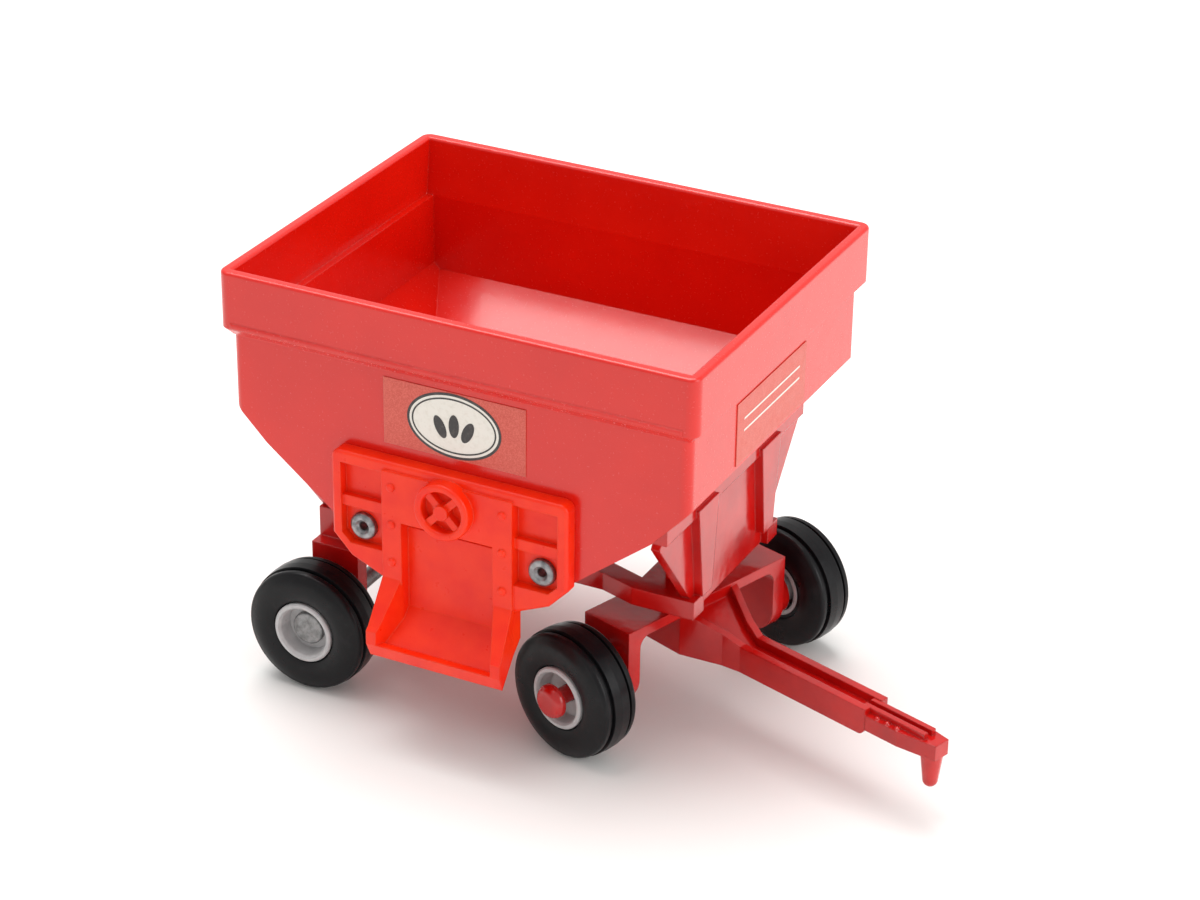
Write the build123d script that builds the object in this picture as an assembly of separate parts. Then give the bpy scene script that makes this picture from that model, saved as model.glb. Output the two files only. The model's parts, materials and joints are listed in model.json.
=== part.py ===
"""Die-cast toy gravity wagon, about 1:64, in millimetres.

+X runs forwards to the drawbar, +Y is the wagon's left, +Z is up, and the unloading chute is on
the right (-Y). The parts are drawn about the middle of the hopper on the ground and moved at the
end, so that the origin is the bottom centre of the whole wagon's box.
"""
from build123d import *
import os
from math import cos, radians, tan

# Hopper: a flared band on top of a box with sloping ends and a floor that falls to the chute
RIM_LENGTH = 53.2
RIM_WIDTH = 42.4
RIM_TOP_Z = 48.1
BAND_BOTTOM_Z = 41.0
BAND_RAMP = 0.9
WALL_INSET = 0.95
WALL = 1.1
RIM_WALL = 1.2
LEDGE_Z = 41.7
WALL_BOTTOM_Z = 33.2
FRONT_UPPER_SLOPE = 47.0
FRONT_KNEE_DROP = 4.2
FRONT_LOWER_SLOPE = 38.0
REAR_UPPER_SLOPE = 45.0
REAR_KNEE_DROP = 3.7
REAR_LOWER_SLOPE = 38.0
FLOOR_SLOPE = 26.0
FAR_WALL_BOTTOM_Z = 32.3
HOPPER_BOTTOM_Z = 17.0
CORNER_RADIUS = 1.2
RIM_EDGE_RADIUS = 0.35
BEAD_PROUD = 0.18
BEAD_HEIGHT = 0.6
BEAD_Z = 42.3
BEAD_STOP = 1.4

# Chute moulding: panel, mouth, tray and handwheel in one piece
PANEL_WIDTH = 26.8
PANEL_TOP_Z = 31.7
PANEL_SIDE_BOTTOM_Z = 22.1
PANEL_KNEE = (11.3, 19.9)
PANEL_BOTTOM_Z = 18.2
PANEL_THICKNESS = 1.6
PANEL_EDGE_RADIUS = 0.4
WINDOW_OUTER_X = 12.3
UPPER_WINDOW_Z = (26.6, 30.4)
LOWER_WINDOW_Z = (21.4, 25.4)
WINDOW_CHAMFER = 1.0
WINDOW_FLOOR = 0.5
CROSSBAR_RECESS = 0.35
PLATE_WIDTH = 14.8
PLATE_TOP_Z = 30.8
PLATE_PROUD = 0.3
MOUTH_WIDTH = 10.4
MOUTH_TOP_Z = 25.3
MOUTH_BACK = 0.5
GATE_SLOT = (24.3, 0.3)
TRAY_WALL = 1.1
TRAY_TOP_Z = 19.2
TRAY_REACH = 3.4
TRAY_LIP_HALF = 7.7
TRAY_LIP_TOP_Z = 14.2
TRAY_LIP_NOTCH = 0.4
TRAY_LIP_BOTTOM_Z = 10.7
TRAY_CHIN = (0.7, 1.6)
TRAY_UNDERSIDE_SLOPE = 42.0
TRAY_FLOOR = 0.8
TRAY_LIP = 0.9
BUMP_X = 6.3
BUMP_ZS = (29.1, 24.9, 20.6)
BUMP_RADIUS = 0.45
BUMP_PROUD = 0.3
HANDWHEEL_Z = 28.3
HANDWHEEL_RADIUS = 3.1
HANDWHEEL_RIM = 0.85
HANDWHEEL_PROUD = 1.2
HANDWHEEL_HUB_RADIUS = 0.8
SPOKE_WIDTH = 0.8
SPOKE_ANGLES = (45, 135, 225, 315)
SPOKE_RECESS = 0.35

# Eyelets that hold the chute moulding to the hopper
EYELET_X = 10.2
EYELET_Z = 23.2
EYELET_HEAD_RADIUS = 1.5
EYELET_SHANK_RADIUS = 0.85
EYELET_BORE_RADIUS = 0.5
EYELET_FUNNEL = 0.3
EYELET_HEAD = 0.6
EYELET_TAIL = 0.35
EYELET_TAIL_RADIUS = 1.0

# Stickers
STICKER = 0.1
SIDE_STICKER_WIDTH = 16.0
SIDE_STICKER_Z = (33.0, 40.3)
FRONT_STICKER_Y = (-9.7, 6.9)
FRONT_STICKER_Z = (33.6, 40.4)

# Wheels
TYRE_RADIUS = 7.0
TYRE_WIDTH = 5.35
RIM_FACE_Y = 19.0
RIM_RING_RADIUS = 3.4
RIM_BARREL_RADIUS = 3.1
RIM_DISC_RECESS = 1.8
HUB_RADIUS = 1.8
AXLE_RADIUS = 0.9
RUNNING_CLEARANCE = 0.05
SHOULDER_DEPTH = 1.65
SHOULDER_GROOVE = 0.45
GROOVE_DEPTH = 0.5
WHEELBASE = 35.6
KINGPIN_X = 16.3

# Chassis: rails, bolsters, rear axle portal and the uprights that carry the hopper
RAIL_OUTER_Y = 10.3
RAIL_WAIST_Y = 9.0
RAIL_WAIST_X = 11.0
RAIL_WIDTH = 2.4
RAIL_BOTTOM_Z = 15.4
RAIL_TOP_Z = 17.4
FRAME_FRONT_X = 21.9
FRONT_BOLSTER = 7.0
REAR_BOLSTER = 6.6
PORTAL_TOP_Z = 14.0
PORTAL_LENGTH = 5.6
PORTAL_HALF_WIDTH = 12.0
PORTAL_LEG = 1.8
PORTAL_DECK = 1.4
KNEE_RADIUS = 1.3
BOSS_RADIUS = 2.6
BOSS_GAP = 0.2
FRONT_UPRIGHT_X = 21.1
REAR_UPRIGHT_X = -22.1
UPRIGHT_PLATE = 1.0
UPRIGHT_FLANK = (16.95, 26.4)
UPRIGHT_BOTTOM_HALF = 9.6
STRIP_HALF = 16.6
STRIP_BOTTOM_Z = 26.9
STRIP_PROUD = 0.6
LEG_TOP_Y = (5.3, 10.0)
LEG_FOOT_Y = (6.4, 8.6)
LEG_TOP_Z = 27.8
LEG_PROUD = 1.0
BOLSTER_SETBACK = 1.6
POST_Y = 5.6
POST_RADIUS = 1.6
POST_GAP = 0.3
SCREW_RADIUS = 0.8
SCREW_HEAD_RADIUS = 1.5
SCREW_HEAD = 0.7
SCREW_HEAD_CLEARANCE = 0.1
SCREW_ENGAGEMENT = 4.0

# Front axle and drawbar, drawn about the kingpin with the wagon going straight
STEER_AT_REST = -18.3
AXLE_DECK_Z = 13.05
AXLE_DECK = 1.15
AXLE_LENGTH = 6.4
AXLE_HALF_WIDTH = 11.8
AXLE_LEG = 1.7
HUB_HALF_WIDTH = 4.0
HUB_BOTTOM_Z = 7.6
STUB_HEAD_RADIUS = 1.85
STUB_HEAD_START = 0.1
STUB_HEAD_LENGTH = 1.4
AXLE_HEAD_RADIUS = 1.8
AXLE_HEAD = 0.6
AXLE_HEAD_GAP = 0.1
ROOT_HALF_WIDTH = 4.3
ROOT_DROP = 0.3
WAIST = (7.4, 2.3)
BAR_START = 9.4
BAR_END = 26.4
BAR_HALF_WIDTH = 1.75
BAR_END_RADIUS = 0.8
BAR_BOTTOM_Z = 7.1
BAR_TOP_Z = 10.1
FLANGE = 0.9
BAR_GROOVE = 0.9
TONGUE_BOTTOM_Z = 7.7
TONGUE_TOP_Z = 9.4
TONGUE_HALF_WIDTH = 1.65
TONGUE_TAPER_START = 30.5
NOSE = 35.0
NOSE_HALF_WIDTH = 1.0
TONGUE_RAIL_Y = (0.3, 0.9)
TONGUE_RAIL_TOP_Z = 10.0
TONGUE_RAIL_END = 33.4
STUD_STATIONS = (27.6, 28.9, 30.2)
STUD_Y = 1.2
STUD_RADIUS = 0.28
HITCH_PIN_U = 33.8
HITCH_PIN_TOP_RADIUS = 1.2
HITCH_PIN_RADIUS = 0.8
HITCH_PIN_TIP_Z = 3.9
KINGPIN_RADIUS = 1.1
KINGPIN_HEAD_RADIUS = 2.0
KINGPIN_HEAD = 0.6
PIVOT_BOSS_RADIUS = 2.8
PIVOT_GAP = 0.15
WASHER = 0.4
WASHER_RADIUS = 2.4

# Derived places
REAR_AXLE_X = KINGPIN_X - WHEELBASE
AXLE_Z = TYRE_RADIUS
BODY_LENGTH = RIM_LENGTH - 2 * WALL_INSET
BODY_WIDTH = RIM_WIDTH - 2 * WALL_INSET
NEAR_WALL_Y = -BODY_WIDTH / 2
PANEL_FACE_Y = NEAR_WALL_Y - PANEL_THICKNESS
FRONT_KNEE_X = BODY_LENGTH / 2 - FRONT_KNEE_DROP / tan(radians(FRONT_UPPER_SLOPE))
FRONT_KNEE_Z = WALL_BOTTOM_Z - FRONT_KNEE_DROP
REAR_KNEE_X = REAR_KNEE_DROP / tan(radians(REAR_UPPER_SLOPE)) - BODY_LENGTH / 2
REAR_KNEE_Z = WALL_BOTTOM_Z - REAR_KNEE_DROP
FRONT_FOOT_X = FRONT_KNEE_X - (FRONT_KNEE_Z - HOPPER_BOTTOM_Z) / tan(radians(FRONT_LOWER_SLOPE))
REAR_FOOT_X = REAR_KNEE_X + (REAR_KNEE_Z - HOPPER_BOTTOM_Z) / tan(radians(REAR_LOWER_SLOPE))
WHEEL_INNER_Y = RIM_FACE_Y - TYRE_WIDTH
BOSS_END_Y = WHEEL_INNER_Y - BOSS_GAP
POST_SETBACK = UPRIGHT_PLATE + POST_GAP + POST_RADIUS
POST_XS = {"front": FRONT_UPRIGHT_X - POST_SETBACK, "rear": REAR_UPRIGHT_X + POST_SETBACK}
UNDERSIDES = {"front": RAIL_BOTTOM_Z, "rear": PORTAL_TOP_Z - PORTAL_DECK}
POST_PLACES = {end: [(x, -POST_Y), (x, POST_Y)] for end, x in POST_XS.items()}
TALL = 100.0


def side_face(points):
    """Closed outline in X and Z."""
    return Plane.XZ * make_face(Polyline(*points, close=True))


def end_face(points):
    """Closed outline in Y and Z."""
    return Plane.YZ * make_face(Polyline(*points, close=True))


def plan_face(points):
    """Closed outline in X and Y."""
    return make_face(Polyline(*points, close=True))


def span_box(x, y, z):
    """Box between two values along each axis."""
    size = Box(x[1] - x[0], y[1] - y[0], z[1] - z[0])
    return Pos(sum(x) / 2, sum(y) / 2, sum(z) / 2) * size


def rod(radius, start, end):
    """Cylinder along Z between two heights."""
    return Pos(0, 0, (start + end) / 2) * Cylinder(radius, end - start)


def cross_rod(radius, start, end):
    """Cylinder along Y between two places."""
    return Pos(0, (start + end) / 2, 0) * Rot(90, 0, 0) * Cylinder(radius, end - start)


def fuse(shapes):
    """One solid from a list of touching or overlapping shapes."""
    whole = shapes[0]
    for shape in shapes[1:]:
        whole = whole + shape
    return whole


def hopper_end_outline(top_z):
    """The hopper's outline from the side: upright ends, then two slopes down to a flat bottom."""
    half = BODY_LENGTH / 2
    return [
        (-half, top_z), (half, top_z), (half, WALL_BOTTOM_Z), (FRONT_KNEE_X, FRONT_KNEE_Z),
        (FRONT_FOOT_X, HOPPER_BOTTOM_Z), (REAR_FOOT_X, HOPPER_BOTTOM_Z), (REAR_KNEE_X, REAR_KNEE_Z),
        (-half, WALL_BOTTOM_Z),
    ]


def hopper_floor_outline(top_z):
    """The hopper's outline from the front: upright sides and a floor that falls to the chute."""
    half = BODY_WIDTH / 2
    near_z = FAR_WALL_BOTTOM_Z - BODY_WIDTH * tan(radians(FLOOR_SLOPE))
    return [(-half, top_z), (half, top_z), (half, FAR_WALL_BOTTOM_Z), (-half, near_z)]


def hopper_block(inset):
    """The lower box as a solid, each of its faces moved in by inset."""
    side = side_face(hopper_end_outline(TALL))
    end = end_face(hopper_floor_outline(TALL))
    if inset:
        side = offset(side, amount=-inset, kind=Kind.INTERSECTION)
        end = offset(end, amount=-inset, kind=Kind.INTERSECTION)
    return extrude(side, amount=RIM_WIDTH, both=True) & extrude(end, amount=RIM_LENGTH, both=True)


def slab_between(solid, low_z, high_z):
    """The part of a solid between two heights."""
    return solid & span_box((-TALL, TALL), (-TALL, TALL), (low_z, high_z))


def rounded_block(length, width, radius, low_z, high_z):
    """Upright block with rounded vertical corners."""
    return Pos(0, 0, low_z) * extrude(RectangleRounded(length, width, radius), amount=high_z - low_z)


def hopper_band():
    """The flared band with its ramp underneath and a bead along each side."""
    band = rounded_block(RIM_LENGTH, RIM_WIDTH, CORNER_RADIUS, BAND_BOTTOM_Z, RIM_TOP_Z)
    bottom = band.faces().sort_by(Axis.Z)[0]
    band = chamfer(bottom.edges(), length=BAND_RAMP, length2=WALL_INSET)
    band = fillet(band.faces().sort_by(Axis.Z)[-1].edges(), RIM_EDGE_RADIUS)
    bead = Box(RIM_LENGTH - 2 * BEAD_STOP, RIM_WIDTH + 2 * BEAD_PROUD, BEAD_HEIGHT)
    sides = bead.faces().sort_by(Axis.Y)
    bead = fillet(sides[0].edges() + sides[-1].edges(), BEAD_PROUD)
    return band + Pos(0, 0, BEAD_Z) * bead


def hopper_cavity():
    """The hollow: the upper part tapers at the sides and steps in on a ledge at the ends."""
    half_length = RIM_LENGTH / 2 - RIM_WALL
    top_half = RIM_WIDTH / 2 - RIM_WALL
    low_half = BODY_WIDTH / 2 - WALL
    opening = [(-low_half, LEDGE_Z), (low_half, LEDGE_Z), (top_half, RIM_TOP_Z), (-top_half, RIM_TOP_Z)]
    upper = extrude(end_face(opening), amount=half_length, both=True)
    lower = slab_between(hopper_block(WALL), HOPPER_BOTTOM_Z + WALL, LEDGE_Z)
    return fuse([lower, upper])


def hopper():
    """Hopper casting with its four mounting posts."""
    block = slab_between(hopper_block(0), HOPPER_BOTTOM_Z, BAND_BOTTOM_Z + BAND_RAMP)
    corners = block.edges().filter_by(Axis.Z)
    block = fillet(corners, CORNER_RADIUS - 0.2)
    places = POST_PLACES["front"] + POST_PLACES["rear"]
    posts = [Pos(x, y, 0) * rod(POST_RADIUS, RAIL_TOP_Z, FRONT_KNEE_Z) for x, y in places]
    shell = fuse([block, hopper_band()] + posts) - hopper_cavity()
    rim_edges = shell.edges().filter_by_position(Axis.Z, RIM_TOP_Z - 0.01, RIM_TOP_Z + 0.01)
    inner = rim_edges.filter_by(lambda e: abs(e.center().X) < RIM_LENGTH / 2 - RIM_WALL + 0.01
                                and abs(e.center().Y) < RIM_WIDTH / 2 - RIM_WALL + 0.01)
    shell = fillet(inner, RIM_EDGE_RADIUS)
    for x in (-EYELET_X, EYELET_X):
        shell -= Pos(x, NEAR_WALL_Y, EYELET_Z) * cross_rod(EYELET_SHANK_RADIUS, -1, 2 * WALL)
    for x, y in places:
        shell -= Pos(x, y, 0) * rod(SCREW_RADIUS, RAIL_TOP_Z, RAIL_TOP_Z + SCREW_ENGAGEMENT)
    return shell


def on_near_wall(sketch, depth, start=0.0):
    """A sketch in X and Z made solid outwards from the hopper's near wall."""
    plane = Plane(origin=(0, NEAR_WALL_Y - start, 0), x_dir=(1, 0, 0), z_dir=(0, -1, 0))
    return extrude(plane * sketch, amount=depth)


def wall_rectangle(x, z):
    """Rectangle between two values of X and of Z."""
    return Pos(sum(x) / 2, sum(z) / 2) * Rectangle(x[1] - x[0], z[1] - z[0])


def panel_plate():
    """The panel's body with its rounded front edges."""
    half = PANEL_WIDTH / 2
    knee_x, knee_z = PANEL_KNEE
    foot = PLATE_WIDTH / 2
    outline = [
        (-half, PANEL_TOP_Z), (half, PANEL_TOP_Z), (half, PANEL_SIDE_BOTTOM_Z), (knee_x, knee_z),
        (foot, PANEL_BOTTOM_Z), (-foot, PANEL_BOTTOM_Z), (-knee_x, knee_z), (-half, PANEL_SIDE_BOTTOM_Z),
    ]
    sketch = make_face(Polyline(*outline, close=True))
    top_corners = sketch.vertices().filter_by_position(Axis.Y, PANEL_TOP_Z - 0.01, PANEL_TOP_Z + 0.01)
    sketch = fillet(top_corners, PANEL_THICKNESS * 0.6)
    body = on_near_wall(sketch, PANEL_THICKNESS)
    front = body.faces().sort_by(Axis.Y)[0]
    return fillet(front.edges(), PANEL_EDGE_RADIUS)


def window_cut(x, z, floor):
    """One recess between two values of X and of Z, its lower outer corner cut off, down to floor."""
    sketch = wall_rectangle(x, z)
    outer_low = sketch.vertices().sort_by(Axis.Y)[:2].sort_by(lambda v: abs(v.X))[-1]
    return on_near_wall(chamfer(outer_low, WINDOW_CHAMFER), PANEL_THICKNESS, floor)


def panel_windows(side):
    """The two windows beside the centre plate and the low crossbar between them, to be cut."""
    x = sorted((side * PLATE_WIDTH / 2, side * WINDOW_OUTER_X))
    both = (LOWER_WINDOW_Z[0], UPPER_WINDOW_Z[1])
    return [
        on_near_wall(wall_rectangle(x, UPPER_WINDOW_Z), PANEL_THICKNESS, WINDOW_FLOOR),
        window_cut(x, LOWER_WINDOW_Z, WINDOW_FLOOR),
        window_cut(x, both, PANEL_THICKNESS - CROSSBAR_RECESS),
    ]


def tray_plan(panel_half, lip_half):
    """Plan outline: straight under the panel, then flaring out to the lip."""
    reach_y = PANEL_FACE_Y - TRAY_REACH
    return plan_face([
        (-panel_half, NEAR_WALL_Y), (panel_half, NEAR_WALL_Y), (panel_half, PANEL_FACE_Y),
        (lip_half, reach_y), (-lip_half, reach_y), (-panel_half, PANEL_FACE_Y),
    ])


def tray():
    """The tray below the mouth: two cheeks, a sloping floor and a lip with a cut-back chin."""
    reach_y = PANEL_FACE_Y - TRAY_REACH
    slope = tan(radians(TRAY_UNDERSIDE_SLOPE))
    chin_back, chin_height = TRAY_CHIN
    chin_y = reach_y + chin_back
    cheek = [
        (NEAR_WALL_Y, TRAY_TOP_Z), (PANEL_FACE_Y, TRAY_TOP_Z), (reach_y + TRAY_LIP_NOTCH, TRAY_LIP_TOP_Z),
        (reach_y, TRAY_LIP_TOP_Z - TRAY_LIP_NOTCH), (reach_y, TRAY_LIP_BOTTOM_Z + chin_height),
        (chin_y, TRAY_LIP_BOTTOM_Z), (NEAR_WALL_Y, TRAY_LIP_BOTTOM_Z + (NEAR_WALL_Y - chin_y) * slope),
    ]
    lip_y = reach_y + TRAY_LIP
    floor_z = TRAY_LIP_BOTTOM_Z + (lip_y - chin_y) * slope + TRAY_FLOOR / cos(radians(TRAY_UNDERSIDE_SLOPE))
    lip_z = floor_z + TRAY_FLOOR / 2
    back_y = NEAR_WALL_Y - MOUTH_BACK
    hollow = [
        (back_y, TALL), (reach_y, TALL), (reach_y, lip_z), (lip_y, lip_z), (lip_y, floor_z),
        (back_y, floor_z + (back_y - lip_y) * slope),
    ]
    block = extrude(end_face(cheek), amount=PLATE_WIDTH, both=True)
    block &= extrude(tray_plan(PLATE_WIDTH / 2, TRAY_LIP_HALF), amount=RIM_TOP_Z)
    space = extrude(end_face(hollow), amount=PLATE_WIDTH, both=True)
    space &= extrude(tray_plan(MOUTH_WIDTH / 2, TRAY_LIP_HALF - TRAY_WALL), amount=RIM_TOP_Z)
    return block - space


def handwheel():
    """The gate's handwheel in relief: rim, three spokes and hub."""
    height = PLATE_PROUD + HANDWHEEL_PROUD
    rim = Circle(HANDWHEEL_RADIUS) - Circle(HANDWHEEL_RADIUS - HANDWHEEL_RIM)
    place = Pos(0, HANDWHEEL_Z)
    ring = on_near_wall(place * rim, height, PANEL_THICKNESS)
    ring = fillet(ring.faces().sort_by(Axis.Y)[0].edges(), HANDWHEEL_RIM * 0.35)
    reach = HANDWHEEL_RADIUS - HANDWHEEL_RIM / 2
    spoke = Pos(reach / 2, 0) * Rectangle(reach, SPOKE_WIDTH)
    spokes = [place * Rot(0, 0, angle) * spoke for angle in SPOKE_ANGLES]
    web = on_near_wall(fuse(spokes), height - SPOKE_RECESS, PANEL_THICKNESS)
    hub = on_near_wall(place * Circle(HANDWHEEL_HUB_RADIUS), height, PANEL_THICKNESS)
    return ring + web + hub


def bumps():
    """Six rivet heads in relief on the centre plate."""
    heads = []
    for x in (-BUMP_X, BUMP_X):
        for z in BUMP_ZS:
            disc = Pos(x, z) * Circle(BUMP_RADIUS)
            head = on_near_wall(disc, PLATE_PROUD + BUMP_PROUD, PANEL_THICKNESS)
            heads.append(fillet(head.faces().sort_by(Axis.Y)[0].edges(), BUMP_PROUD * 0.8))
    return heads


def chute_panel():
    """Chute moulding: panel, centre plate, closed mouth, tray, handwheel and bumps."""
    plate = on_near_wall(
        wall_rectangle((-PLATE_WIDTH / 2, PLATE_WIDTH / 2), (PANEL_BOTTOM_Z, PLATE_TOP_Z)),
        PANEL_THICKNESS + PLATE_PROUD,
    )
    body = panel_plate() + plate
    for side in (-1, 1):
        for window in panel_windows(side):
            body -= window
        hole = cross_rod(EYELET_SHANK_RADIUS, -PANEL_THICKNESS, 1)
        body -= Pos(side * EYELET_X, NEAR_WALL_Y, EYELET_Z) * hole
    half = MOUTH_WIDTH / 2
    mouth_back = NEAR_WALL_Y - MOUTH_BACK
    slot_z, slot_depth = GATE_SLOT
    body -= span_box((-half, half), (PANEL_FACE_Y - 1, mouth_back), (0, MOUTH_TOP_Z))
    body -= span_box((-half, half), (PANEL_FACE_Y - 1, mouth_back + slot_depth), (slot_z, MOUTH_TOP_Z))
    return fuse([body, tray(), handwheel()] + bumps())


def chute_eyelet(x):
    """Tubular eyelet through the panel and the hopper wall, with a rolled head and a spread tail."""
    head_y = -WINDOW_FLOOR
    flange = cross_rod(EYELET_HEAD_RADIUS, head_y - EYELET_HEAD, head_y)
    flange = fillet(flange.faces().sort_by(Axis.Y)[0].edges(), EYELET_HEAD * 0.6)
    shank = cross_rod(EYELET_SHANK_RADIUS, head_y - EYELET_HEAD / 2, WALL + EYELET_TAIL / 2)
    tail = cross_rod(EYELET_TAIL_RADIUS, WALL, WALL + EYELET_TAIL)
    bore = cross_rod(EYELET_BORE_RADIUS, -PANEL_THICKNESS, 2 * WALL)
    eyelet = flange + shank + tail - bore
    mouth = eyelet.edges().filter_by(GeomType.CIRCLE).group_by(Axis.Y)[0].sort_by(SortBy.RADIUS)[0]
    return Pos(x, NEAR_WALL_Y, EYELET_Z) * chamfer(mouth, EYELET_FUNNEL)


def side_sticker():
    """Sticker on the near wall above the chute."""
    half = SIDE_STICKER_WIDTH / 2
    return span_box((-half, half), (NEAR_WALL_Y - STICKER, NEAR_WALL_Y), SIDE_STICKER_Z)


def front_sticker():
    """Sticker on the front wall."""
    face = BODY_LENGTH / 2
    return span_box((face, face + STICKER), FRONT_STICKER_Y, FRONT_STICKER_Z)


def portal(length, half_width, deck_z, deck, leg):
    """Axle portal about x = 0: a deck, two legs with round feet about the axle and their bosses."""
    half = length / 2
    outline = [
        (-half_width, AXLE_Z), (-half_width, deck_z), (half_width, deck_z), (half_width, AXLE_Z),
        (half_width - leg, AXLE_Z), (half_width - leg, deck_z - deck),
        (leg - half_width, deck_z - deck), (leg - half_width, AXLE_Z),
    ]
    frame = extrude(end_face(outline), amount=half, both=True)
    knee_z = deck_z - deck
    knees = frame.edges().filter_by(Axis.X).filter_by_position(Axis.Z, knee_z - 0.01, knee_z + 0.01)
    frame = fillet(knees, KNEE_RADIUS)
    pieces = [frame]
    for side in (-1, 1):
        inner, outer = side * (half_width - leg), side * half_width
        foot = cross_rod(half, min(inner, outer), max(inner, outer))
        boss_end = side * BOSS_END_Y
        boss = cross_rod(BOSS_RADIUS, min(outer, boss_end), max(outer, boss_end))
        pieces += [Pos(0, 0, AXLE_Z) * foot, Pos(0, 0, AXLE_Z) * boss]
    return fuse(pieces)


def upright(face_x, top_z):
    """An upright facing +X: a trapezoid plate with two tapering legs and a strip."""
    back = face_x - UPRIGHT_PLATE
    flank_y, flank_z = UPRIGHT_FLANK
    half = [
        (UPRIGHT_BOTTOM_HALF, RAIL_BOTTOM_Z), (UPRIGHT_BOTTOM_HALF, RAIL_TOP_Z), (flank_y, flank_z),
        (STRIP_HALF, STRIP_BOTTOM_Z), (STRIP_HALF, top_z),
    ]
    outline = half + [(-y, z) for y, z in reversed(half)]
    plate = Pos(back, 0, 0) * extrude(end_face(outline), amount=UPRIGHT_PLATE)
    strip = span_box((back, face_x + STRIP_PROUD), (-STRIP_HALF, STRIP_HALF), (STRIP_BOTTOM_Z, top_z))
    pieces = [plate, strip]
    for side in (-1, 1):
        leg = end_face([
            (side * LEG_FOOT_Y[0], RAIL_TOP_Z), (side * LEG_FOOT_Y[1], RAIL_TOP_Z),
            (side * LEG_TOP_Y[1], LEG_TOP_Z), (side * LEG_TOP_Y[0], LEG_TOP_Z),
        ])
        pieces.append(Pos(back, 0, 0) * extrude(leg, amount=UPRIGHT_PLATE + LEG_PROUD))
    return fuse(pieces)


def rail(side):
    """One long rail, waisted between the uprights; side is -1 or 1."""
    stations = [
        (REAR_UPRIGHT_X, RAIL_OUTER_Y), (REAR_UPRIGHT_X + REAR_BOLSTER, RAIL_OUTER_Y),
        (-RAIL_WAIST_X, RAIL_WAIST_Y), (RAIL_WAIST_X, RAIL_WAIST_Y),
        (FRAME_FRONT_X - FRONT_BOLSTER, RAIL_OUTER_Y), (FRAME_FRONT_X, RAIL_OUTER_Y),
    ]
    outer = [(x, side * y) for x, y in stations]
    inner = [(x, side * (y - RAIL_WIDTH)) for x, y in reversed(stations)]
    return extrude(Pos(0, 0, RAIL_BOTTOM_Z) * plan_face(outer + inner), amount=RAIL_TOP_Z - RAIL_BOTTOM_Z)


def chassis():
    """Chassis casting: rails, bolsters, rear axle portal and both uprights."""
    full = (-RAIL_OUTER_Y, RAIL_OUTER_Y)
    front = (FRAME_FRONT_X - FRONT_BOLSTER, FRAME_FRONT_X - BOLSTER_SETBACK)
    rear = (REAR_UPRIGHT_X, REAR_UPRIGHT_X + REAR_BOLSTER)
    pieces = [
        rail(-1), rail(1), span_box(front, full, (RAIL_BOTTOM_Z, RAIL_TOP_Z)),
        span_box(rear, full, (PORTAL_TOP_Z - PORTAL_DECK / 2, RAIL_TOP_Z)),
    ]
    rear_portal = portal(PORTAL_LENGTH, PORTAL_HALF_WIDTH, PORTAL_TOP_Z, PORTAL_DECK, PORTAL_LEG)
    pieces.append(Pos(REAR_AXLE_X, 0, 0) * rear_portal)
    pivot = rod(PIVOT_BOSS_RADIUS, AXLE_DECK_Z + PIVOT_GAP, RAIL_TOP_Z)
    pieces.append(Pos(KINGPIN_X, 0, 0) * pivot)
    rear_upright = mirror(upright(-REAR_UPRIGHT_X, REAR_KNEE_Z), Plane.YZ)
    under_hopper = extrude(side_face(hopper_end_outline(TALL)), amount=RIM_WIDTH, both=True)
    body = fuse(pieces + [fuse([upright(FRONT_UPRIGHT_X, FRONT_KNEE_Z), rear_upright]) - under_hopper])
    body -= Pos(KINGPIN_X, 0, 0) * rod(KINGPIN_RADIUS, 0, TALL)
    for end, underside_z in UNDERSIDES.items():
        head_fit = SCREW_HEAD_RADIUS + SCREW_HEAD_CLEARANCE
        counterbore = rod(head_fit, underside_z - 1, underside_z + SCREW_HEAD)
        for x, y in POST_PLACES[end]:
            body -= Pos(x, y, 0) * fuse([rod(SCREW_RADIUS, underside_z, RAIL_TOP_Z), counterbore])
    body -= Pos(REAR_AXLE_X, 0, AXLE_Z) * cross_rod(AXLE_RADIUS, -RIM_FACE_Y, RIM_FACE_Y)
    return body


def body_screws(end):
    """Two screws from below into one end's posts, their heads sunk in the casting's underside."""
    seat_z = UNDERSIDES[end] + SCREW_HEAD
    shank = rod(SCREW_RADIUS, seat_z - SCREW_HEAD / 2, RAIL_TOP_Z + SCREW_ENGAGEMENT)
    head = rod(SCREW_HEAD_RADIUS, seat_z - SCREW_HEAD, seat_z)
    head = fillet(head.faces().sort_by(Axis.Z)[0].edges(), SCREW_HEAD * 0.5)
    slot = Pos(0, 0, seat_z - SCREW_HEAD) * Box(2 * SCREW_HEAD_RADIUS, SCREW_RADIUS / 2, SCREW_HEAD * 0.6)
    screw = shank + head - slot
    return Compound([Pos(x, y, 0) * screw for x, y in POST_PLACES[end]])


def kingpin():
    """Kingpin rivet with a head on the bolster and another below the axle's hub."""
    foot_z = HUB_BOTTOM_Z - PIVOT_GAP - WASHER
    shank = rod(KINGPIN_RADIUS, foot_z - KINGPIN_HEAD / 2, RAIL_TOP_Z + KINGPIN_HEAD / 2)
    foot = rod(KINGPIN_HEAD_RADIUS, foot_z - KINGPIN_HEAD, foot_z)
    foot = fillet(foot.faces().sort_by(Axis.Z)[0].edges(), KINGPIN_HEAD * 0.6)
    cap = rod(KINGPIN_HEAD_RADIUS, RAIL_TOP_Z, RAIL_TOP_Z + KINGPIN_HEAD)
    cap = fillet(cap.faces().sort_by(Axis.Z)[-1].edges(), KINGPIN_HEAD * 0.6)
    return Pos(KINGPIN_X, 0, 0) * (shank + foot + cap)


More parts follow.
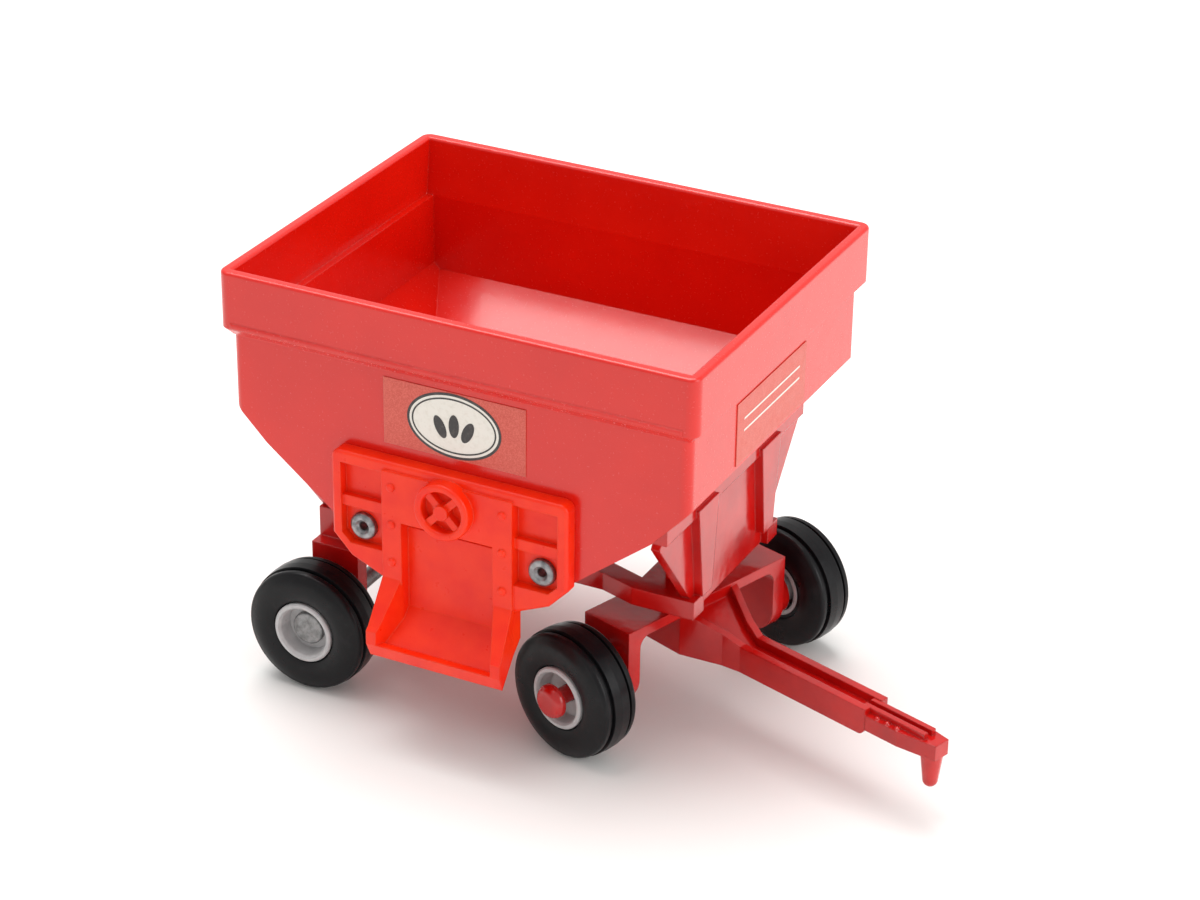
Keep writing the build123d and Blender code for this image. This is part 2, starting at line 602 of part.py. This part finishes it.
def kingpin_washer():
    """Washer between the axle's hub and the kingpin's lower head."""
    top_z = HUB_BOTTOM_Z - PIVOT_GAP
    ring = rod(WASHER_RADIUS, top_z - WASHER, top_z) - rod(KINGPIN_RADIUS, 0, TALL)
    return Pos(KINGPIN_X, 0, 0) * ring


def drawbar_side(drop):
    """Hub, root and bar from the side, in X and Z, with the top lowered by drop."""
    start = -AXLE_LENGTH / 2
    top_z = AXLE_DECK_Z - ROOT_DROP
    return side_face([
        (start, HUB_BOTTOM_Z), (AXLE_LENGTH / 2, HUB_BOTTOM_Z), (BAR_START, BAR_BOTTOM_Z),
        (BAR_END, BAR_BOTTOM_Z), (BAR_END, BAR_TOP_Z - drop), (BAR_START, BAR_TOP_Z - drop),
        (AXLE_LENGTH / 2, top_z - drop), (start, top_z - drop),
    ])


def drawbar_block():
    """Hub, tapering root and bar, with the groove along the top."""
    half = AXLE_LENGTH / 2
    waist_x, waist_y = WAIST
    right = [
        (-half, -HUB_HALF_WIDTH), (half, -ROOT_HALF_WIDTH), (waist_x, -waist_y),
        (BAR_START, -BAR_HALF_WIDTH), (BAR_END, -BAR_HALF_WIDTH),
    ]
    left = [(x, -y) for x, y in reversed(right)]
    plan = extrude(plan_face(right + left), amount=TALL)
    block = plan & extrude(drawbar_side(0), amount=RIM_WIDTH, both=True)
    channel_right = [(x, y + FLANGE) for x, y in right[1:]]
    channel_left = [(x, -y) for x, y in reversed(channel_right)]
    channel = extrude(plan_face(channel_right + channel_left), amount=TALL)
    block -= channel - extrude(drawbar_side(BAR_GROOVE), amount=RIM_WIDTH, both=True)
    end_edge = block.faces().sort_by(Axis.X)[-1].edges().sort_by(Axis.Z)[0]
    return fillet(end_edge, BAR_END_RADIUS)


def tongue():
    """Inner tongue beyond the bar: a tapering plate with two rails, studs and the hitch pin."""
    start = BAR_END - 1
    outline = [
        (start, -TONGUE_HALF_WIDTH), (TONGUE_TAPER_START, -TONGUE_HALF_WIDTH), (NOSE, -NOSE_HALF_WIDTH),
        (NOSE, NOSE_HALF_WIDTH), (TONGUE_TAPER_START, TONGUE_HALF_WIDTH), (start, TONGUE_HALF_WIDTH),
    ]
    plate = extrude(Pos(0, 0, TONGUE_BOTTOM_Z) * plan_face(outline), amount=TONGUE_TOP_Z - TONGUE_BOTTOM_Z)
    pieces = [plate]
    for side in (-1, 1):
        y = sorted(side * value for value in TONGUE_RAIL_Y)
        pieces.append(span_box((start, TONGUE_RAIL_END), y, (TONGUE_TOP_Z - 0.2, TONGUE_RAIL_TOP_Z)))
        for station in STUD_STATIONS:
            stud = Pos(station, side * STUD_Y, TONGUE_TOP_Z - STUD_RADIUS / 2) * Sphere(STUD_RADIUS * 1.4)
            pieces.append(stud)
    taper_z = TONGUE_BOTTOM_Z + 0.2
    round_z = HITCH_PIN_TIP_Z + HITCH_PIN_RADIUS
    middle = (taper_z + round_z) / 2
    pin = Pos(HITCH_PIN_U, 0, middle) * Cone(HITCH_PIN_RADIUS, HITCH_PIN_TOP_RADIUS, taper_z - round_z)
    tip = Pos(HITCH_PIN_U, 0, round_z) * Sphere(HITCH_PIN_RADIUS)
    return fuse(pieces + [pin, tip])


def axle_stub(side):
    """Stub shaft with its domed head outside the wheel."""
    head_y = RIM_FACE_Y + STUB_HEAD_START
    shaft = cross_rod(AXLE_RADIUS, BOSS_END_Y - 0.5, head_y + STUB_HEAD_LENGTH / 2)
    head = cross_rod(STUB_HEAD_RADIUS, head_y, head_y + STUB_HEAD_LENGTH)
    head = fillet(head.faces().sort_by(Axis.Y)[-1].edges(), STUB_HEAD_LENGTH * 0.7)
    head = chamfer(head.faces().sort_by(Axis.Y)[0].edges(), STUB_HEAD_LENGTH * 0.2)
    stub = Pos(0, 0, AXLE_Z) * (shaft + head)
    return stub if side > 0 else Rot(0, 0, 180) * stub


def steered(shape):
    """Moves a shape drawn about the kingpin to its place and angle on the wagon."""
    return Pos(KINGPIN_X, 0, 0) * Rot(0, 0, STEER_AT_REST) * shape


def front_axle():
    """Front axle moulding: portal, kingpin hub, drawbar, hitch pin and wheel stubs."""
    beam = portal(AXLE_LENGTH, AXLE_HALF_WIDTH, AXLE_DECK_Z, AXLE_DECK, AXLE_LEG)
    body = fuse([beam, drawbar_block(), tongue(), axle_stub(1), axle_stub(-1)])
    body -= rod(KINGPIN_RADIUS + RUNNING_CLEARANCE, 0, TALL)
    return steered(body)


def rear_axle():
    """Steel axle through the rear portal, both ends spread into heads."""
    disc_y = RIM_FACE_Y - RIM_DISC_RECESS
    head = (disc_y + AXLE_HEAD_GAP, disc_y + AXLE_HEAD_GAP + AXLE_HEAD)
    shaft = cross_rod(AXLE_RADIUS, -head[0], head[0])
    heads = []
    for side in (-1, 1):
        y = sorted((side * head[0], side * head[1]))
        cap = cross_rod(AXLE_HEAD_RADIUS, *y)
        heads.append(fillet(cap.faces().sort_by(Axis.Y)[0 if side < 0 else -1].edges(), AXLE_HEAD / 3))
    return Pos(REAR_AXLE_X, 0, AXLE_Z) * fuse([shaft] + heads)


def wheel_rim():
    """Rim about the Y axis, outer face at y = 0: hub, recessed disc, barrel and face ring."""
    bore = AXLE_RADIUS + RUNNING_CLEARANCE
    inner_face = -TYRE_WIDTH + 0.15
    barrel_end = -TYRE_WIDTH + 0.4
    barrel_bore = RIM_BARREL_RADIUS - 0.45
    disc_back = -RIM_DISC_RECESS - 0.8
    profile = [
        (bore, inner_face), (HUB_RADIUS, inner_face), (HUB_RADIUS, disc_back), (barrel_bore, disc_back),
        (barrel_bore, barrel_end), (RIM_BARREL_RADIUS, barrel_end), (RIM_BARREL_RADIUS, -0.5),
        (RIM_RING_RADIUS, -0.5), (RIM_RING_RADIUS, -0.15), (RIM_RING_RADIUS - 0.15, 0),
        (RIM_RING_RADIUS - 0.45, 0), (RIM_RING_RADIUS - 0.65, -0.3),
        (RIM_RING_RADIUS - 0.85, -RIM_DISC_RECESS), (bore, -RIM_DISC_RECESS),
    ]
    return revolve(plan_face(profile), axis=Axis.Y)


def tyre():
    """Tyre about the Y axis: smooth tread, a ring and groove at each shoulder, rounded sidewalls."""
    shoulder = TYRE_RADIUS - 0.2
    groove = TYRE_RADIUS - GROOVE_DEPTH
    seat = RIM_BARREL_RADIUS
    bead_outer = RIM_RING_RADIUS + 0.05
    low = seat + 0.5
    crown = TYRE_RADIUS - 0.6
    groove_start = SHOULDER_GROOVE - SHOULDER_DEPTH
    outer = [
        Line((seat, -TYRE_WIDTH / 2), (seat, -0.5)),
        Line((seat, -0.5), (bead_outer, -0.5)),
        Line((bead_outer, -0.5), (low, -0.25)),
        ThreePointArc((low, -0.25), ((low + crown) / 2, 0), (crown, -0.4)),
        ThreePointArc((crown, -0.4), (shoulder - 0.1, -0.6), (shoulder, -0.85)),
        Line((shoulder, -0.85), (shoulder, groove_start)),
        Line((shoulder, groove_start), (groove, groove_start - 0.05)),
        Line((groove, groove_start - 0.05), (groove, -SHOULDER_DEPTH + 0.05)),
        Line((groove, -SHOULDER_DEPTH + 0.05), (TYRE_RADIUS - 0.05, -SHOULDER_DEPTH)),
        Line((TYRE_RADIUS - 0.05, -SHOULDER_DEPTH), (TYRE_RADIUS, -TYRE_WIDTH / 2)),
    ]
    closing = Line((TYRE_RADIUS, -TYRE_WIDTH / 2), (seat, -TYRE_WIDTH / 2))
    outer_half = revolve(make_face(outer + [closing]), axis=Axis.Y)
    inner_half = mirror(outer_half, Plane.XZ.offset(TYRE_WIDTH / 2))
    return outer_half + inner_half


def wheel_place(shape, side):
    """Puts a wheel part, drawn with its outer face at y = 0, on one side of an axle."""
    turned = Pos(0, RIM_FACE_Y, AXLE_Z) * shape
    return turned if side > 0 else Rot(0, 0, 180) * turned


def wagon():
    """Every node's solid by name, about the middle of the hopper on the ground."""
    parts = {
        "hopper": hopper(),
        "chute_panel": chute_panel(),
        "chute_eyelet_front": chute_eyelet(EYELET_X),
        "chute_eyelet_rear": chute_eyelet(-EYELET_X),
        "side_sticker": side_sticker(),
        "front_sticker": front_sticker(),
        "chassis": chassis(),
        "body_screws_front": body_screws("front"),
        "body_screws_rear": body_screws("rear"),
        "kingpin": kingpin(),
        "kingpin_washer": kingpin_washer(),
        "front_axle": front_axle(),
        "rear_axle": rear_axle(),
    }
    for name, shape in (("rim", wheel_rim()), ("tyre", tyre())):
        for side, hand in ((1, "left"), (-1, "right")):
            parts[f"front_{hand}_{name}"] = steered(wheel_place(shape, side))
            parts[f"rear_{hand}_{name}"] = Pos(REAR_AXLE_X, 0, 0) * wheel_place(shape, side)
    return parts


def main():
    """Writes one STEP per node, with the origin at the bottom centre of the wagon's box."""
    parts = wagon()
    box = Compound(list(parts.values())).bounding_box()
    to_origin = Pos(-box.center().X, -box.center().Y, -box.min.Z)
    os.makedirs("parts", exist_ok=True)
    for name, shape in parts.items():
        export_step(to_origin * shape, f"parts/{name}.step")


main()
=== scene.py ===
"""Looks, floor, light and camera for the toy gravity wagon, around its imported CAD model.

Everything is in metres in the CAD frame: +X forwards, +Y left, +Z up. Shapes in this file are
given in millimetres and turned into metres by mm().
"""
import json
from math import cos, pi, radians, sin

import bmesh
import bpy
from mathutils import Matrix, Vector


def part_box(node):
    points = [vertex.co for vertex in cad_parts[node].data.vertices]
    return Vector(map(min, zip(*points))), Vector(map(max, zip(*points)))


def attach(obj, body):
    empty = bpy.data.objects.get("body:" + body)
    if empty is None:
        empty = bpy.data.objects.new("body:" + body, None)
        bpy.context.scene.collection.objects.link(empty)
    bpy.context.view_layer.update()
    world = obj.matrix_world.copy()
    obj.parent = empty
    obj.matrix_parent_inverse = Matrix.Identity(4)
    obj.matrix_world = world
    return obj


# Camera: the photograph's viewing angle
AZIMUTH = radians(26.493)
ELEVATION = radians(27.295)
ROLL = radians(0.807)
LENS = 98.64
SENSOR = 36.0
DISTANCE = 0.347
TARGET_FROM_HOPPER = (0.0040, 0.0039, 0.0240)
NEAREST_SEEN = 0.01

# Floor and lights, metres and watts
FLOOR_SIZE = 6.0
FLOOR_CLOUDS_MM = 60.0
FLOOR_DARKER = 0.99
SKY_COLOR = (1.0, 0.99, 0.985, 1.0)
SKY_STRENGTH = 0.70
AREA_LIGHTS = (
    # name, place, target, size, power
    ("overhead", (-0.15, 0.10, 0.70), (0, 0, 0.02), 0.55, 5.2),
    ("front_fill", (0.65, -0.05, 0.28), (0, 0, 0.03), 0.40, 2.0),
)

# Colours, linear
HOPPER_RED = (0.70, 0.009, 0.002)
HOPPER_DEEP = (0.61, 0.005, 0.001)
# paler red painted on the hopper's edges as a highlight
HOPPER_EDGE_HIGHLIGHT = (0.78, 0.050, 0.030)
CHASSIS_RED = (0.54, 0.006, 0.004)
CHASSIS_DEEP = (0.40, 0.003, 0.003)
# paler red painted on the chassis edges as a highlight
CHASSIS_EDGE_HIGHLIGHT = (0.72, 0.030, 0.020)
CHUTE_ORANGE = (0.90, 0.030, 0.002)
CHUTE_DEEP = (0.82, 0.014, 0.001)
# paler orange painted on the chute's edges as a highlight
CHUTE_EDGE_HIGHLIGHT = (0.96, 0.075, 0.012)
TYRE_BLACK = (0.006, 0.006, 0.007)
TYRE_DUST = (0.016, 0.016, 0.017)
RIM_GREY = (0.52, 0.51, 0.51)
RIM_SHADE = (0.43, 0.42, 0.425)
ZINC = (0.36, 0.36, 0.37)
ZINC_DARK = (0.12, 0.12, 0.125)
STEEL = (0.30, 0.30, 0.30)
STEEL_DARK = (0.15, 0.15, 0.15)
STICKER_FILM = (0.58, 0.070, 0.045)
STICKER_WORN = (0.68, 0.120, 0.085)
STICKER_CREAM = (0.80, 0.77, 0.70)
STICKER_CREAM_WORN = (0.70, 0.66, 0.58)
STICKER_INK = (0.030, 0.026, 0.026)
STICKER_INK_WORN = (0.090, 0.075, 0.070)
FLOOR_WHITE = (0.86, 0.855, 0.835)

# Sticker artwork, mm
INK = 0.03
OVAL = (10.6, 7.1)
OVAL_EDGE = 0.28
OVAL_INSET = 0.55
OVAL_LINE = 0.16
KERNEL = (1.15, 2.5)
KERNEL_SPREAD = 1.55
KERNEL_DROP = 0.15 * KERNEL[1]
KERNEL_FAN = 24.0
OVAL_POINTS = 96
KERNEL_POINTS = 40
STRIPE = 0.2
STRIPE_SPACING = 1.3
STRIPE_MARGIN = 1.6
STRIPE_RISE = 0.6

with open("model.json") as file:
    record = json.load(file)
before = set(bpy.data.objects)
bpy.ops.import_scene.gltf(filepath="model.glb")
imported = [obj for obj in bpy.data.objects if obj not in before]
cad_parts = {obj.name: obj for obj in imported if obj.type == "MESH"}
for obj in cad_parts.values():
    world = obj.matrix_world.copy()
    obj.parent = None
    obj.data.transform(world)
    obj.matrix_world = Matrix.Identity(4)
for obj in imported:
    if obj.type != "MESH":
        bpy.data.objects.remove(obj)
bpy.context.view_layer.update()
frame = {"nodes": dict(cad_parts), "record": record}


def mm(value):
    """Millimetres to metres."""
    return value / 1000.0


class Shader:
    """A node material: a Principled shader and short calls that add what feeds it."""

    def __init__(self, name, roughness, metallic=0.0, coat=0.0, coat_roughness=0.1, subsurface=0.0):
        self.material = bpy.data.materials.new(name)
        self.material.use_nodes = True
        self.nodes = self.material.node_tree.nodes
        self.links = self.material.node_tree.links
        self.surface = self.nodes["Principled BSDF"]
        self.put("Roughness", roughness)
        self.put("Metallic", metallic)
        self.put("Coat Weight", coat)
        self.put("Coat Roughness", coat_roughness)
        self.put("Subsurface Weight", subsurface)
        self.place = self.nodes.new("ShaderNodeTexCoord").outputs["Object"]

    def put(self, socket, value):
        """A value that is the same all over the surface."""
        self.surface.inputs[socket].default_value = value

    def noise(self, size_mm, detail=4.0, rough=0.55):
        """Fractal noise whose lumps are about size_mm across."""
        node = self.nodes.new("ShaderNodeTexNoise")
        node.inputs["Scale"].default_value = 1.0 / mm(size_mm)
        node.inputs["Detail"].default_value = detail
        node.inputs["Roughness"].default_value = rough
        self.links.new(self.place, node.inputs["Vector"])
        return node.outputs["Fac"]

    def remap(self, value, low, high, to_low=0.0, to_high=1.0):
        """A value between low and high, spread from to_low to to_high."""
        node = self.nodes.new("ShaderNodeMapRange")
        ends = {"From Min": low, "From Max": high, "To Min": to_low, "To Max": to_high}
        for name, number in ends.items():
            node.inputs[name].default_value = number
        self.links.new(value, node.inputs["Value"])
        return node.outputs["Result"]

    def multiply(self, a, b):
        """The product of two values."""
        node = self.nodes.new("ShaderNodeMath")
        node.operation = "MULTIPLY"
        self.links.new(a, node.inputs[0])
        self.links.new(b, node.inputs[1])
        return node.outputs[0]

    def mix(self, factor, a, b):
        """Colour a where factor is 0 and b where it is 1; each is a colour or a socket."""
        node = self.nodes.new("ShaderNodeMix")
        node.data_type = "RGBA"
        self.links.new(factor, node.inputs["Factor"])
        for value, socket in ((a, node.inputs[6]), (b, node.inputs[7])):
            if isinstance(value, tuple):
                socket.default_value = (*value, 1.0)
            else:
                self.links.new(value, socket)
        return node.outputs[2]

    def edges(self, radius_mm):
        """1 on convex and concave edges, 0 on flat faces."""
        rounded = self.nodes.new("ShaderNodeBevel")
        rounded.inputs["Radius"].default_value = mm(radius_mm)
        flat = self.nodes.new("ShaderNodeNewGeometry")
        dot = self.nodes.new("ShaderNodeVectorMath")
        dot.operation = "DOT_PRODUCT"
        self.links.new(rounded.outputs["Normal"], dot.inputs[0])
        self.links.new(flat.outputs["Normal"], dot.inputs[1])
        return self.remap(dot.outputs["Value"], 0.995, 0.90)

    def color(self, value):
        """Feeds the base colour."""
        self.links.new(value, self.surface.inputs["Base Color"])

    def roughness(self, value):
        """Feeds the roughness."""
        self.links.new(value, self.surface.inputs["Roughness"])

    def bump(self, layers, round_mm=0.0):
        """Stacks bumps, each a (height socket, depth in mm), over softly rounded edges."""
        normal = None
        if round_mm:
            rounded = self.nodes.new("ShaderNodeBevel")
            rounded.inputs["Radius"].default_value = mm(round_mm)
            normal = rounded.outputs["Normal"]
        for height, depth_mm in layers:
            node = self.nodes.new("ShaderNodeBump")
            node.inputs["Distance"].default_value = mm(depth_mm)
            self.links.new(height, node.inputs["Height"])
            if normal:
                self.links.new(normal, node.inputs["Normal"])
            normal = node.outputs["Normal"]
        self.links.new(normal, self.surface.inputs["Normal"])


def hopper_paint():
    """Glossy paint over a cast wall: faint orange peel, and a painted highlight in paler red on the
    edges.
    """
    shade = Shader("hopper_paint", 0.2, coat=0.28, coat_roughness=0.16)
    base = shade.mix(shade.remap(shade.noise(11.0), 0.3, 0.75), HOPPER_RED, HOPPER_DEEP)
    # painted highlight: paler red on convex and concave edges, broken into patches
    patches = shade.remap(shade.noise(1.1, 6.0), 0.40, 0.66, 0.0, 0.5)
    edge_highlight = shade.multiply(shade.edges(0.2), patches)
    shade.color(shade.mix(edge_highlight, base, HOPPER_EDGE_HIGHLIGHT))
    shade.roughness(shade.remap(shade.noise(0.3, 3.0), 0.3, 0.75, 0.17, 0.3))
    peel = (shade.noise(0.3, 3.0), 0.004)
    ripple = (shade.noise(1.3, 3.0), 0.012)
    waves = (shade.noise(4.0, 2.0), 0.03)
    shade.bump([peel, ripple, waves], 0.2)
    return shade.material


def chassis_paint():
    """Thick glossy paint that pools in the corners of a small casting, with a painted highlight in
    paler red on its edges.
    """
    shade = Shader("chassis_paint", 0.16, coat=0.25, coat_roughness=0.08)
    base = shade.mix(shade.remap(shade.noise(5.0), 0.35, 0.7), CHASSIS_RED, CHASSIS_DEEP)
    # painted highlight: paler red on convex and concave edges, broken into patches
    patches = shade.remap(shade.noise(0.9, 6.0), 0.45, 0.66, 0.0, 0.4)
    edge_highlight = shade.multiply(shade.edges(0.16), patches)
    shade.color(shade.mix(edge_highlight, base, CHASSIS_EDGE_HIGHLIGHT))
    shade.roughness(shade.remap(shade.noise(1.8), 0.3, 0.75, 0.13, 0.24))
    shade.bump([(shade.noise(0.8, 2.0), 0.012), (shade.noise(2.6, 2.0), 0.05)], 0.22)
    return shade.material


def chute_plastic():
    """Moulded plastic, a little translucent, with faint flow marks and a painted highlight in paler
    orange on its edges.
    """
    shade = Shader("chute_plastic", 0.34, subsurface=0.08)
    shade.put("Subsurface Radius", (mm(1.2), mm(0.3), mm(0.1)))
    shade.put("Subsurface Scale", 1.0)
    shade.put("Specular IOR Level", 0.36)
    base = shade.mix(shade.remap(shade.noise(3.5), 0.35, 0.7), CHUTE_ORANGE, CHUTE_DEEP)
    # painted highlight: paler orange on convex and concave edges, broken into patches
    patches = shade.remap(shade.noise(0.8, 5.0), 0.35, 0.65, 0.2, 0.7)
    edge_highlight = shade.multiply(shade.edges(0.16), patches)
    shade.color(shade.mix(edge_highlight, base, CHUTE_EDGE_HIGHLIGHT))
    shade.roughness(shade.remap(shade.noise(1.2), 0.3, 0.75, 0.27, 0.42))
    shade.bump([(shade.noise(0.25, 3.0), 0.006), (shade.noise(1.8, 2.0), 0.02)], 0.18)
    return shade.material


def tyre_rubber():
    """Smooth black rubber with a trace of dust."""
    shade = Shader("tyre_rubber", 0.32)
    shade.put("Specular IOR Level", 0.2)
    dust = shade.remap(shade.noise(1.6, 8.0, 0.7), 0.52, 0.85)
    shade.color(shade.mix(dust, TYRE_BLACK, TYRE_DUST))
    shade.roughness(shade.remap(shade.noise(2.2), 0.3, 0.75, 0.26, 0.4))
    shade.bump([(shade.noise(0.18, 3.0), 0.004), (shade.noise(1.4, 2.0), 0.015)], 0.1)
    return shade.material


def rim_plastic():
    """Pale grey plastic, slightly translucent."""
    shade = Shader("rim_plastic", 0.34, subsurface=0.1)
    shade.put("Subsurface Radius", (mm(0.6), mm(0.6), mm(0.7)))
    shade.put("Subsurface Scale", 1.0)
    shade.color(shade.mix(shade.remap(shade.noise(1.2), 0.35, 0.7), RIM_GREY, RIM_SHADE))
    shade.roughness(shade.remap(shade.noise(0.9), 0.3, 0.75, 0.26, 0.44))
    shade.bump([(shade.noise(0.2, 3.0), 0.005)], 0.14)
    return shade.material


def plated_metal(name, bright, dark, roughness):
    """Plated metal with dull patches and fine scratches."""
    shade = Shader(name, roughness, metallic=0.85)
    dull = shade.remap(shade.noise(0.8, 7.0, 0.65), 0.4, 0.68)
    shade.color(shade.mix(dull, bright, dark))
    shade.roughness(shade.remap(shade.noise(0.5), 0.3, 0.75, roughness - 0.1, roughness + 0.15))
    shade.bump([(shade.noise(0.15, 4.0), 0.008)], 0.1)
    return shade.material


def sticker_film():
    """Printed film with a fine grain and a slightly crinkled surface."""
    shade = Shader("sticker_film", 0.34)
    grains = shade.remap(shade.noise(0.12, 2.0, 0.6), 0.42, 0.62)
    shade.color(shade.mix(grains, STICKER_FILM, STICKER_WORN))
    shade.roughness(shade.remap(shade.noise(1.0), 0.3, 0.75, 0.28, 0.44))
    shade.bump([(shade.noise(0.9, 3.0), 0.010)])
    return shade.material


def printed(name, color, worn_color):
    """Ink on a sticker, thinned in tiny patches."""
    shade = Shader(name, 0.36)
    shade.color(shade.mix(shade.remap(shade.noise(0.5, 6.0), 0.5, 0.8), color, worn_color))
    shade.roughness(shade.remap(shade.noise(1.0), 0.3, 0.75, 0.3, 0.44))
    shade.bump([(shade.noise(0.5, 3.0), 0.005)])
    return shade.material


MATERIALS = {
    "hopper_paint": hopper_paint(),
    "chassis_paint": chassis_paint(),
    "chute_plastic": chute_plastic(),
    "tyre_rubber": tyre_rubber(),
    "rim_plastic": rim_plastic(),
    "zinc_rivet": plated_metal("zinc_rivet", ZINC, ZINC_DARK, 0.38),
    "steel": plated_metal("steel", STEEL, STEEL_DARK, 0.46),
    "sticker": sticker_film(),
}
CREAM_INK = printed("cream_ink", STICKER_CREAM, STICKER_CREAM_WORN)
DARK_INK = printed("dark_ink", STICKER_INK, STICKER_INK_WORN)


def dress_cad_nodes():
    """Gives every CAD node the material of its slot."""
    for part in frame["record"]["subparts"]:
        node = frame["nodes"][part["node"]]
        node.data.materials.clear()
        node.data.materials.append(MATERIALS[part["material_slot"]])


def ellipse(width, height, count, center=(0.0, 0.0), turn=0.0):
    """Points of an ellipse, mm, turned by some degrees about its centre."""
    points = []
    for step in range(count):
        angle = 2 * pi * step / count
        u, v = width / 2 * cos(angle), height / 2 * sin(angle)
        c, d = cos(radians(turn)), sin(radians(turn))
        points.append((center[0] + u * c - v * d, center[1] + u * d + v * c))
    return points


def printed_piece(name, outer, inner, place, material, level):
    """Ink that fills an outline, or the band between two with as many points, as a thin solid.

    place turns (across, up, out) in mm into a point in metres; level is the ink's layer.
    """
    mesh = bpy.data.meshes.new(name)
    shape = bmesh.new()
    back, front = INK * level, INK * (level + 1)
    loops = []
    for outline in ([outer, inner] if inner else [outer]):
        layers = [[place(u, v, out) for u, v in outline] for out in (back, front)]
        loops.append([[shape.verts.new(point) for point in layer] for layer in layers])
    count = len(outer)
    for index in range(count):
        after = (index + 1) % count
        for low, high in loops:
            shape.faces.new((low[index], low[after], high[after], high[index]))
        if inner:
            for layer in (0, 1):
                a, b = loops[0][layer], loops[1][layer]
                shape.faces.new((a[index], a[after], b[after], b[index]))
    if not inner:
        for loop in loops[0]:
            shape.faces.new(loop)
    bmesh.ops.recalc_face_normals(shape, faces=shape.faces)
    shape.to_mesh(mesh)
    shape.free()
    piece = bpy.data.objects.new(name, mesh)
    bpy.context.scene.collection.objects.link(piece)
    mesh.materials.append(material)
    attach(piece, "wagon_body")


def side_sticker_art():
    """A pale oval with a dark edge, an inner line and a fan of three plain grain kernels."""
    low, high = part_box("side_sticker")
    middle = (low + high) / 2

    def place(across, up, out):
        return middle.x + mm(across), low.y - mm(out), middle.z + mm(up)

    width, height = OVAL
    rims = [ellipse(width - 2 * inset, height - 2 * inset, OVAL_POINTS)
            for inset in (0.0, OVAL_EDGE, OVAL_INSET, OVAL_INSET + OVAL_LINE)]
    printed_piece("oval_edge", rims[0], rims[1], place, DARK_INK, 0)
    printed_piece("oval_field", rims[1], None, place, CREAM_INK, 0)
    printed_piece("oval_line", rims[2], rims[3], place, DARK_INK, 1)
    for name, step in (("kernel_left", -1), ("kernel_middle", 0), ("kernel_right", 1)):
        center = (KERNEL_SPREAD * step, -KERNEL_DROP * abs(step))
        kernel = ellipse(*KERNEL, KERNEL_POINTS, center, -KERNEL_FAN * step)
        printed_piece(name, kernel, None, place, DARK_INK, 1)


def rectangle(width, height, center=(0.0, 0.0)):
    """Corners of a rectangle, mm."""
    u, v = center
    return [(u - width / 2, v - height / 2), (u + width / 2, v - height / 2),
            (u + width / 2, v + height / 2), (u - width / 2, v + height / 2)]


def front_sticker_art():
    """Two thin plain stripes."""
    low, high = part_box("front_sticker")
    middle = (low + high) / 2

    def place(across, up, out):
        return high.x + mm(out), middle.y + mm(across), middle.z + mm(up)

    length = (high.y - low.y) * 1000 - 2 * STRIPE_MARGIN
    for name, side in (("front_stripe_upper", 1), ("front_stripe_lower", -1)):
        stripe = rectangle(length, STRIPE, (0.0, STRIPE_RISE + side * STRIPE_SPACING / 2))
        printed_piece(name, stripe, None, place, CREAM_INK, 0)


def floor():
    """A large pale floor under the tyres."""
    bpy.ops.mesh.primitive_plane_add(size=FLOOR_SIZE)
    plane = bpy.context.object
    plane.name = "floor"
    shade = Shader("floor_paper", 0.75)
    darker = tuple(FLOOR_DARKER * part for part in FLOOR_WHITE)
    shade.color(shade.mix(shade.noise(FLOOR_CLOUDS_MM), FLOOR_WHITE, darker))
    plane.data.materials.append(shade.material)


def area_light(name, place, target, size, power):
    """A square soft light at place, aimed at target."""
    data = bpy.data.lights.new(name, "AREA")
    data.size = size
    data.energy = power
    light = bpy.data.objects.new(name, data)
    light.location = place
    light.rotation_euler = (Vector(place) - Vector(target)).to_track_quat("Z", "Y").to_euler()
    bpy.context.scene.collection.objects.link(light)


def studio():
    """Soft white surroundings with a large light overhead and a fill on the right."""
    world = bpy.data.worlds.new("studio")
    world.use_nodes = True
    sky = world.node_tree.nodes["Background"]
    sky.inputs["Color"].default_value = SKY_COLOR
    sky.inputs["Strength"].default_value = SKY_STRENGTH
    bpy.context.scene.world = world
    for light in AREA_LIGHTS:
        area_light(*light)
    bpy.context.scene.view_settings.view_transform = "Standard"


def camera():
    """The photograph's view of the wagon."""
    low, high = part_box("hopper")
    middle = (low + high) / 2
    target = Vector((middle.x, middle.y, 0)) + Vector(TARGET_FROM_HOPPER)
    back = Vector((sin(AZIMUTH) * cos(ELEVATION), -cos(AZIMUTH) * cos(ELEVATION), sin(ELEVATION)))
    data = bpy.data.cameras.new("camera")
    data.lens = LENS
    data.sensor_width = SENSOR
    data.clip_start = NEAREST_SEEN
    view = bpy.data.objects.new("camera", data)
    view.location = target + back * DISTANCE
    turn = back.to_track_quat("Z", "Y").to_matrix() @ Matrix.Rotation(ROLL, 3, "Z")
    view.rotation_euler = turn.to_euler()
    bpy.context.scene.collection.objects.link(view)
    bpy.context.scene.camera = view


camera()
floor()
studio()
dress_cad_nodes()
side_sticker_art()
front_sticker_art()
